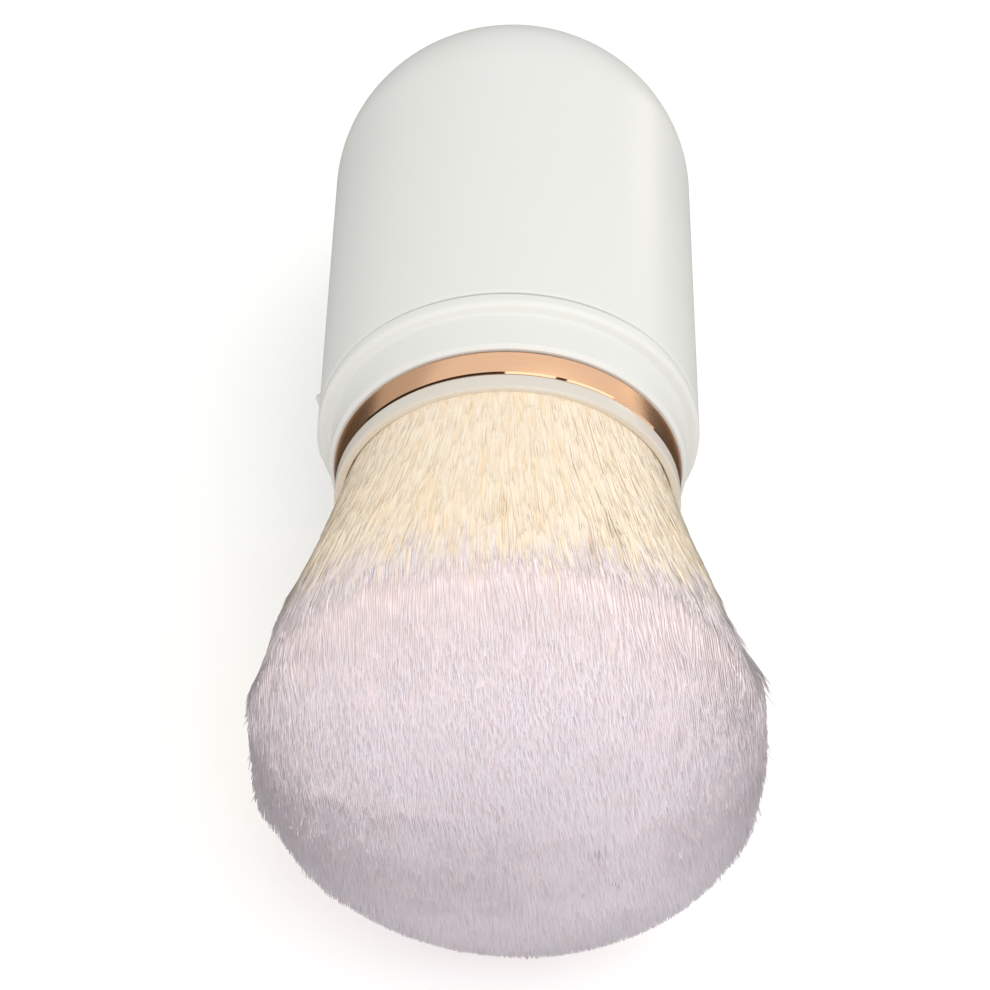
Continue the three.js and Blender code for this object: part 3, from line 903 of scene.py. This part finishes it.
for nodeName, material in innerFinishes.items():
    mesh = frame["nodes"][nodeName].data
    mesh.materials.clear()
    mesh.materials.append(material)


def makeSpring():           # the solid again, as a piece with a mesh of its own that rides on the brush carriage
    mesh = frame["nodes"]["button_spring"].data.copy()
    spring = finished("buttonSpring", mesh, springSteel, "brush_carriage", "button_spring")
    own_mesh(spring)


makeSpring()
print("stage: inner pieces")


# Tuft

tuft = {
    "sectors": 12,
    "strandsPerSector": 6300,
    "sideShare": 0.34,          # of the strands, those that end on the tuft's side and not on its dome
    "pointsPerStrand": 4,
    "seedStep": 100,
    "thickness": 0.092,
    "thinnest": 0.75,
    "thicknessSpread": 0.5,
    "sectionSides": 3,
    "sectionTurn": math.pi,
    "sectionScale": (0.75, 1.15, 1),
    "taper": 0.7,
    "taperFrom": 0.6,
    "rootPlace": 6.5,
    "rootRadius": 14.4,
    "mouthRadius": 16.25,
    "mouthSideDrop": 0.35,
    "radius": 23.5,
    "shoulder": 27.7,
    "length": 44.3,
    "bellShare": 0.02,
    "domePower": 2.4,
    "raggedness": 2.0,
    "pastShoulder": 2.0,
    "sideRun": 5,
    "sideRunSpread": 6,
    "domeRun": 5,
    "sinkShare": 0.0065,
    "sinkPower": 1.5,
    "tipLift": 0.08,
    "tipLiftPower": 4,
    "wispLift": 0.9,
    "wispShare": 0.03,
    "wispSpreadPower": 3,
    "wispEdgePower": 6,
    "wispTipPower": 2,
    "lumpLift": 3.0,
    "lumpSpreadPower": 2,
    "lumpEdgePower": 3,
    "clumpSize": 0.6,
    "clumpLength": 2.8,
    "clumpPull": 0.18,
    "freeSlope": 0.4,
    "swaySize": 4,
    "swayLength": 8,
    "sway": 0.5,
    "swayCalmRadius": 3,
    "lean": 2.1,
    "leanPower": 4,
    "softness": 0.82,
    "floorGap": 0.08,
    "flareSlope": 0.25,
    "flarePower": 3,
    "dyeNear": 14,
    "dyeFar": 11,
    "dyeSoftness": 5,
    "dyeJitter": 5,
    "strandTintShare": 0.6,
    "clumpTintShare": 0.4,
    "depthScale": 0.14,
    "tipDepthShare": 0.032,
    "coreInset": 0.5,
    "coreDrop": 1.7,
    "coreSteps": 16,
    "corePlaces": 30,
    "coreFloorGap": 0.16,
    "coreTintTurn": 40,
    "coreTintLength": 0.1,
    "keepWhenDrawnIn": 0.64,
}


def tuftInputs(tree):
    sizes = {
        "Start Angle": 0.0,
        "Sector Angle": 2 * math.pi / tuft["sectors"],
        "Side Share": tuft["sideShare"],
        "Thickness": tuft["thickness"],
        "Root Place": tuft["rootPlace"],
        "Root Radius": tuft["rootRadius"],
        "Mouth Radius": tuft["mouthRadius"],
        "Tuft Radius": tuft["radius"],
        "Shoulder": tuft["shoulder"],
        "Length": tuft["length"],
        "Raggedness": tuft["raggedness"],
        "Clump Size": tuft["clumpSize"],
        "Clump Length": tuft["clumpLength"],
        "Clump Pull": tuft["clumpPull"],
        "Sway": tuft["sway"],
        "Lean": tuft["lean"],
        "Softness": tuft["softness"],
    }
    counts = {"Strands": tuft["strandsPerSector"], "Points": tuft["pointsPerStrand"], "Seed": 1}
    for kind, values in (("NodeSocketFloat", sizes), ("NodeSocketInt", counts)):
        for label, value in values.items():
            tree.interface.new_socket(name=label, in_out="INPUT", socket_type=kind).default_value = value
    return node(tree, "NodeGroupInput").outputs


def strandLines(tree, given):
    line = node(tree, "GeometryNodeCurvePrimitiveLine", {"End": (0, 1, 0)})
    spaced = node(tree, "GeometryNodeResampleCurve", {"Curve": line.outputs[0], "Count": given["Points"]})
    amounts = {"Geometry": spaced.outputs[0], "Amount": given["Strands"]}
    return node(tree, "GeometryNodeDuplicateElements", amounts, domain="SPLINE").outputs


def strandSolids(tree, given, curves, facing, along, chance):
    sums = Sums(tree)
    # each strand is a flattened triangle whose broad side lies in the tuft's surface
    tangent = node(tree, "GeometryNodeInputTangent").outputs[0]
    across = sums.vector("SUBTRACT", facing, sums.vector("PROJECT", facing, tangent))
    turns = {"Curve": curves, "Normal": sums.vector("NORMALIZE", across)}
    turnedOut = node(tree, "GeometryNodeSetCurveNormal", turns, mode="FREE")
    sizes = {"Resolution": tuft["sectionSides"], "Radius": mm}
    section = node(tree, "GeometryNodeCurvePrimitiveCircle", sizes)
    flattened = node(tree, "GeometryNodeTransform", {
        "Geometry": section.outputs[0],
        "Rotation": (0, 0, tuft["sectionTurn"]),
        "Scale": tuft["sectionScale"],
    })
    taper = sums.less(1, sums.times(tuft["taper"], sums.ramp(along, tuft["taperFrom"], 1)))
    ownWidth = sums.add(tuft["thinnest"], sums.times(chance, tuft["thicknessSpread"]))
    solid = node(tree, "GeometryNodeCurveToMesh", {
        "Curve": turnedOut.outputs[0],
        "Profile Curve": flattened.outputs[0],
        "Scale": sums.times(given["Thickness"], taper, ownWidth),
        "Fill Caps": True,
    })
    smooth = node(tree, "GeometryNodeSetShadeSmooth", {"Geometry": solid.outputs[0]})

    # strands share the shading of the whole tuft, as fine soft fibre does
    own = node(tree, "GeometryNodeInputNormal").outputs[0]
    blended = node(tree, "ShaderNodeMix", {0: given["Softness"], 4: own, 5: facing}, data_type="VECTOR")
    normals = {"Mesh": smooth.outputs[0], "Custom Normal": blended.outputs[1]}
    return node(tree, "GeometryNodeSetMeshNormal", normals, mode="FREE", domain="POINT").outputs[0]


def makeTuftTree(material):
    tree = bpy.data.node_groups.new("tuftStrands", "GeometryNodeTree")
    tree.interface.new_socket(name="Geometry", in_out="OUTPUT", socket_type="NodeSocketGeometry")
    given = tuftInputs(tree)
    sums = Sums(tree)
    add, times, less, ratio, power = sums.add, sums.times, sums.less, sums.ratio, sums.power
    lines = strandLines(tree, given)
    index = lines["Duplicate Index"]
    along = node(tree, "GeometryNodeSplineParameter").outputs["Factor"]
    endChance, runChance, liftChance, wispChance, dyeChance, tintChance = (
        sums.random(index, add(given["Seed"], tuft["seedStep"] * step)) for step in range(1, 7)
    )

    # strands that end on the side come first, then those that end on the dome: each kind is spread evenly
    goldenTurn = (math.sqrt(5) - 1) / 2
    middleIndex = add(index, 0.5)
    sideCount = times(given["Strands"], given["Side Share"])
    onSide = sums.calc("LESS_THAN", index, sideCount)
    sideRank = sums.lowest(ratio(middleIndex, sideCount), 1)
    domeRank = sums.highest(ratio(less(middleIndex, sideCount), less(given["Strands"], sideCount)), 0)
    sectorShare = sums.calc("FRACT", times(index, goldenTurn))
    angle = add(given["Start Angle"], times(given["Sector Angle"], sectorShare))
    cosine = sums.calc("COSINE", angle)
    sine = sums.calc("SINE", angle)
    share = sums.mix(onSide, sums.root(domeRank), 1)    # 0 on the axis, 1 on the outside

    # where each one ends, and how much of it is drawn
    front = less(given["Length"], given["Shoulder"])
    underDome = sums.highest(less(1, power(share, tuft["domePower"])), 0)
    domed = power(underDome, 1 / tuft["domePower"])
    domeTip = times(add(given["Shoulder"], times(front, domed)), -1)
    sideTip = times(add(given["Shoulder"], tuft["pastShoulder"]), sideRank, -1)
    fullTip = sums.mix(onSide, domeTip, sideTip)
    tip = add(fullTip, times(given["Raggedness"], endChance, endChance))
    sideRun = add(tuft["sideRun"], times(tuft["sideRunSpread"], runChance))
    run = sums.lowest(sums.mix(onSide, tuft["domeRun"], sideRun), less(given["Root Place"], tip))
    back = less(1, along)
    place = add(tip, times(run, back))

    # the tuft's own form: bell shaped from the mouth to the shoulder
    outside = sums.highest(times(place, -1), 0)
    spread = sums.lowest(ratio(outside, given["Shoulder"]), 1)
    bell = less(spread, times(tuft["bellShare"], sums.calc("SINE", times(spread, 2 * math.pi))))
    flare = times(bell, less(given["Tuft Radius"], given["Mouth Radius"]))
    inside = ratio(sums.highest(place, 0), given["Root Place"])
    narrowing = times(inside, less(given["Root Radius"], given["Mouth Radius"]))
    nearMouth = times(cosine, cosine, less(1, spread))
    flow = less(add(given["Mouth Radius"], flare, narrowing), times(tuft["mouthSideDrop"], nearMouth))
    shareHere = times(share, less(1, times(tuft["sinkShare"], power(back, tuft["sinkPower"]))))
    lifted = times(onSide, tuft["tipLift"], liftChance, power(along, tuft["tipLiftPower"]))
    evenRadius = add(times(shareHere, flow), lifted)

    # tips gather in small clumps, and all of it sways a little
    free = sums.lowest(times(outside, tuft["freeSlope"]), 1)
    cellSize = given["Clump Size"]
    tipRadius = times(share, given["Tuft Radius"])
    tipX = times(tipRadius, cosine)
    tipZ = times(tipRadius, sine)
    spot = sums.point(ratio(tipX, cellSize), ratio(tipZ, cellSize), ratio(tip, given["Clump Length"]))
    cell = node(tree, "ShaderNodeTexVoronoi", {"Scale": 1, "Vector": spot}).outputs
    cellChance = sums.parts(cell["Color"])
    pull = sums.parts(sums.vector("SUBTRACT", cell["Position"], spot))
    pulled = times(cellSize, given["Clump Pull"], free, times(along, along))
    swaySize = tuft["swaySize"]
    swaySpot = sums.point(ratio(tipX, swaySize), ratio(tipZ, swaySize), ratio(place, tuft["swayLength"]))
    waves = node(tree, "ShaderNodeTexNoise", {"Scale": 1, "Vector": swaySpot}).outputs
    fullSwing = 2       # the centred noise reaches half to each side
    swayed = times(free, given["Sway"], sums.centred(waves["Fac"]), fullSwing)

    # soft swellings of the outside, and a few clumps that stand out as wisps
    swell = sums.highest(sums.centred(sums.parts(waves["Color"])["Y"]), 0)
    lumpHere = power(spread, tuft["lumpSpreadPower"]), power(share, tuft["lumpEdgePower"])
    lump = times(tuft["lumpLift"], swell, *lumpHere)
    isWisp = sums.calc("LESS_THAN", cellChance["Z"], tuft["wispShare"])
    wispHere = power(spread, tuft["wispSpreadPower"]), power(share, tuft["wispEdgePower"])
    wisp = times(isWisp, tuft["wispLift"], *wispHere, power(along, tuft["wispTipPower"]), wispChance)
    radiusHere = add(evenRadius, wisp, lump)
    bearing = add(angle, ratio(swayed, sums.highest(radiusHere, tuft["swayCalmRadius"])))
    leaning = times(given["Lean"], power(ratio(outside, given["Length"]), tuft["leanPower"]))
    x = add(times(radiusHere, sums.calc("COSINE", bearing)), leaning, times(pulled, pull["X"]))
    z = add(times(radiusHere, sums.calc("SINE", bearing)), times(pulled, pull["Y"]))
    height = sums.highest(add(times(z, mm), axisHeight), tuft["floorGap"] * mm)
    position = sums.point(times(x, mm), add(times(place, mm), lipPlane), height)
    moved = node(tree, "GeometryNodeSetPosition", {"Geometry": lines["Geometry"], "Position": position})

    # what the fibre's material reads: dye from root to tip, depth under the surface, which sets the painted
    # gap shade and painted glow, and a tint of its own
    boundary = add(tuft["dyeNear"], times(tuft["dyeFar"], sums.calc("ABSOLUTE", sine)))
    jitter = times(tuft["dyeJitter"], add(sums.centred(dyeChance), sums.centred(cellChance["X"])))
    dye = ratio(add(less(outside, boundary), jitter), tuft["dyeSoftness"])
    sunk = times(less(share, shareHere), flow)
    behindTip = times(less(1, onSide), tuft["tipDepthShare"], less(place, domeTip))
    depth = ratio(add(sunk, behindTip), tuft["depthScale"])
    clumpTint = times(cellChance["Y"], tuft["clumpTintShare"])
    tint = add(times(tintChance, tuft["strandTintShare"]), clumpTint)

    # which way the whole tuft's surface faces beside each strand
    forward = power(underDome, 1 - 1 / tuft["domePower"])
    outward = ratio(power(share, tuft["domePower"] - 1), given["Tuft Radius"])
    domeForward = times(ratio(forward, front), -1)
    sideBackward = times(outward, tuft["flareSlope"], less(1, power(spread, tuft["flarePower"])))
    lengthwise = sums.mix(onSide, domeForward, sideBackward)
    facing = sums.vector("NORMALIZE", sums.point(times(outward, cosine), lengthwise, times(outward, sine)))
    last = moved.outputs[0]
    for label, kind, value in (
        ("dye", "FLOAT", dye),
        ("depth", "FLOAT", depth),
        ("tint", "FLOAT", tint),
        ("facing", "FLOAT_VECTOR", facing),
    ):
        inputs = {"Geometry": last, "Name": label, "Value": value}
        stored = node(tree, "GeometryNodeStoreNamedAttribute", inputs, data_type=kind, domain="POINT")
        last = stored.outputs[0]
    recalled = node(tree, "GeometryNodeInputNamedAttribute", {"Name": "facing"}, data_type="FLOAT_VECTOR")

    solids = strandSolids(tree, given, last, recalled.outputs[0], along, tintChance)
    real = node(tree, "GeometryNodeRealizeInstances", {"Geometry": solids})
    dressed = node(tree, "GeometryNodeSetMaterial", {"Geometry": real.outputs[0], "Material": material})
    node(tree, "NodeGroupOutput", {"Geometry": dressed.outputs[0]})
    return tree


fibreLook = {
    "cream": (0.90, 0.77, 0.59),
    "blush": (0.78, 0.695, 0.695),
    "lavender": (0.84, 0.775, 0.835),
    # painted gap shade: warm colours the fibres take where they lie deep between others, standing in for
    # shade and scattered light in the gaps
    "creamGapShade": (0.97, 0.70, 0.41),
    "tipGapShade": (0.82, 0.68, 0.665),
    "palest": (0.93, 0.85, 0.735),
    "roughness": 0.55,
    "specular": 0.3,
    "blushShift": 0.5,
    "lavenderSpan": (0.8, 3.4),     # in steps of the dye, as the blush is
    "paleSpan": (0.45, 0.8),        # in shares of the tint, as the tan is
    "paleShare": 0.35,
    "tanSpan": (0.15, 0.42),
    "tanShare": 0.62,
    "gapShadeShare": 0.8,
    "tintContrast": 0.05,
    # painted glow: an emission strength that stands in for light scattered between fibres, stronger deeper
    # under the surface
    "paintedGlow": 0.38,
    "paintedGlowOutside": 0.35,
}


def makeFibre():
    material, tree, shader = shadedMaterial("softFibre")
    sums = Sums(tree)
    look = fibreLook

    def stored(name):
        return node(tree, "ShaderNodeAttribute", attribute_name=name).outputs["Fac"]

    def colour(value):
        return value if isinstance(value, bpy.types.NodeSocket) else (*value, 1)

    def blend(share, first, second):
        inputs = {0: share, 6: colour(first), 7: colour(second)}
        return node(tree, "ShaderNodeMix", inputs, data_type="RGBA").outputs[2]

    dye = stored("dye")
    tint = stored("tint")
    toBlush = sums.calc("ADD", dye, look["blushShift"], clamp=True)
    toLavender = sums.ramp(dye, *look["lavenderSpan"])
    surface = blend(toLavender, blend(toBlush, look["cream"], look["blush"]), look["lavender"])
    pale = sums.times(sums.ramp(tint, *look["paleSpan"]), sums.less(1, toBlush), look["paleShare"])
    surface = blend(pale, surface, look["palest"])
    gapShade = blend(toBlush, look["creamGapShade"], look["tipGapShade"])
    # random strands take the painted gap shade colour: a tone of their own, and streaks that stand for shade
    # between the fibres
    tan = sums.times(sums.less(1, sums.ramp(tint, *look["tanSpan"])), look["tanShare"])
    surface = blend(tan, surface, gapShade)
    # the deeper under the tuft's surface, the more the colour turns to the painted gap shade
    depth = sums.ramp(stored("depth"), 0, 1)
    gapShaded = blend(sums.times(depth, look["gapShadeShare"]), surface, gapShade)
    shift = sums.times(sums.centred(tint), look["tintContrast"])
    bright = node(tree, "ShaderNodeBrightContrast", {"Color": gapShaded, "Bright": shift})
    paintedGlowShare = sums.add(look["paintedGlowOutside"], sums.times(depth, 1 - look["paintedGlowOutside"]))
    feed(tree, shader, {
        "Base Color": bright.outputs["Color"],
        "Roughness": look["roughness"],
        "Specular IOR Level": look["specular"],
        "Emission Color": blend(paintedGlowShare, (0, 0, 0), gapShaded),    # painted glow: emission that stands in for light the fibres pass on to each other
        "Emission Strength": look["paintedGlow"],
    })
    return material


def tuftRadiusAt(place, angle):     # the same form as the strands follow
    spread = min(max(-place, 0) / tuft["shoulder"], 1)
    bell = spread - tuft["bellShare"] * math.sin(spread * 2 * math.pi)
    inside = max(place, 0) / tuft["rootPlace"]
    flare = bell * (tuft["radius"] - tuft["mouthRadius"])
    flare -= tuft["mouthSideDrop"] * math.cos(angle) ** 2 * (1 - spread)
    return tuft["mouthRadius"] + flare + inside * (tuft["rootRadius"] - tuft["mouthRadius"])


def coreOutline(angle):     # (distance from axis, place) from the roots forward to the middle of the dome
    places = tuft["corePlaces"]
    outline = [(0, tuft["rootPlace"])]
    for i in range(places + 1):
        place = tuft["rootPlace"] - (tuft["rootPlace"] + tuft["shoulder"]) * i / places
        outline.append((tuftRadiusAt(place, angle) - tuft["coreInset"], place))
    front = tuft["length"] - tuft["shoulder"] - tuft["coreDrop"]
    for i in range(1, places + 1):
        turn = math.pi / 2 * i / places
        share = math.cos(turn) ** (2 / tuft["domePower"]) if i < places else 0
        distance = (tuft["radius"] - tuft["coreInset"]) * share
        outline.append((distance, -tuft["shoulder"] - front * math.sin(turn) ** (2 / tuft["domePower"])))
    return outline


def makeCoreWedge(start, turn, name, material):     # a sheet under the outer strands for the mass of fibre that shows between them, in the painted gap shade and glow
    bm = bmesh.new()
    dye, depth, tint = (bm.verts.layers.float.new(label) for label in ("dye", "depth", "tint"))
    columns = []
    onAxis = {}
    for i in range(tuft["coreSteps"] + 1):
        angle = start + turn * i / tuft["coreSteps"]
        column = []
        for k, (radius, place) in enumerate(coreOutline(angle)):
            if radius == 0 and k in onAxis:
                column.append(onAxis[k])
                continue
            outside = max(-place, 0)
            spot = at(radius, place, angle)
            spot.x += tuft["lean"] * (outside / tuft["length"]) ** tuft["leanPower"] * mm
            spot.z = max(spot.z, tuft["coreFloorGap"] * mm)
            vert = bm.verts.new(spot)
            boundary = tuft["dyeNear"] + tuft["dyeFar"] * abs(math.sin(angle))
            mottle = Vector((angle * tuft["coreTintTurn"], place * tuft["coreTintLength"], 0))
            vert[dye] = (outside - boundary) / tuft["dyeSoftness"]
            # depth 1 gives the core the full painted gap shade and painted glow
            vert[depth] = 1
            vert[tint] = noise.noise(mottle) / 2 + 1 / 2
            if radius == 0:
                onAxis[k] = vert
            column.append(vert)
        columns.append(column)
    for before, after in zip(columns, columns[1:]):
        for k in range(len(before) - 1):
            corners = [before[k], before[k + 1], after[k + 1], after[k]]
            bm.faces.new(list(dict.fromkeys(corners)))
    bm.faces.new(columns[0])
    bm.faces.new(columns[-1])
    bmesh.ops.recalc_face_normals(bm, faces=bm.faces)
    return finished(name, smoothMesh(bm, name), material, "brush_carriage", "bristles")


def makeTuft():
    material = makeFibre()
    tree = makeTuftTree(material)
    inputs = {item.name: item.identifier for item in tree.interface.items_tree if item.in_out == "INPUT"}
    count = tuft["sectors"]
    turn = 2 * math.pi / count
    total = 0
    for i in range(count):
        holder = placed("tuftHolder", bpy.data.meshes.new("tuftHolder"))
        strands = holder.modifiers.new("strands", "NODES")
        strands.node_group = tree
        strands[inputs["Start Angle"]] = turn * i
        strands[inputs["Seed"]] = i + 1
        mesh = evaluated(holder)
        bpy.data.objects.remove(holder)
        outer = finished(f"tuft{i + 1:02d}", mesh, material, "brush_carriage", "bristles")
        inner = makeCoreWedge(turn * i, turn, f"tuftCore{i + 1:02d}", material)
        for piece in (outer, inner):
            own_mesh(piece)
        total += len(mesh.polygons)
    print("stage: tuft,", total, "faces")


makeTuft()
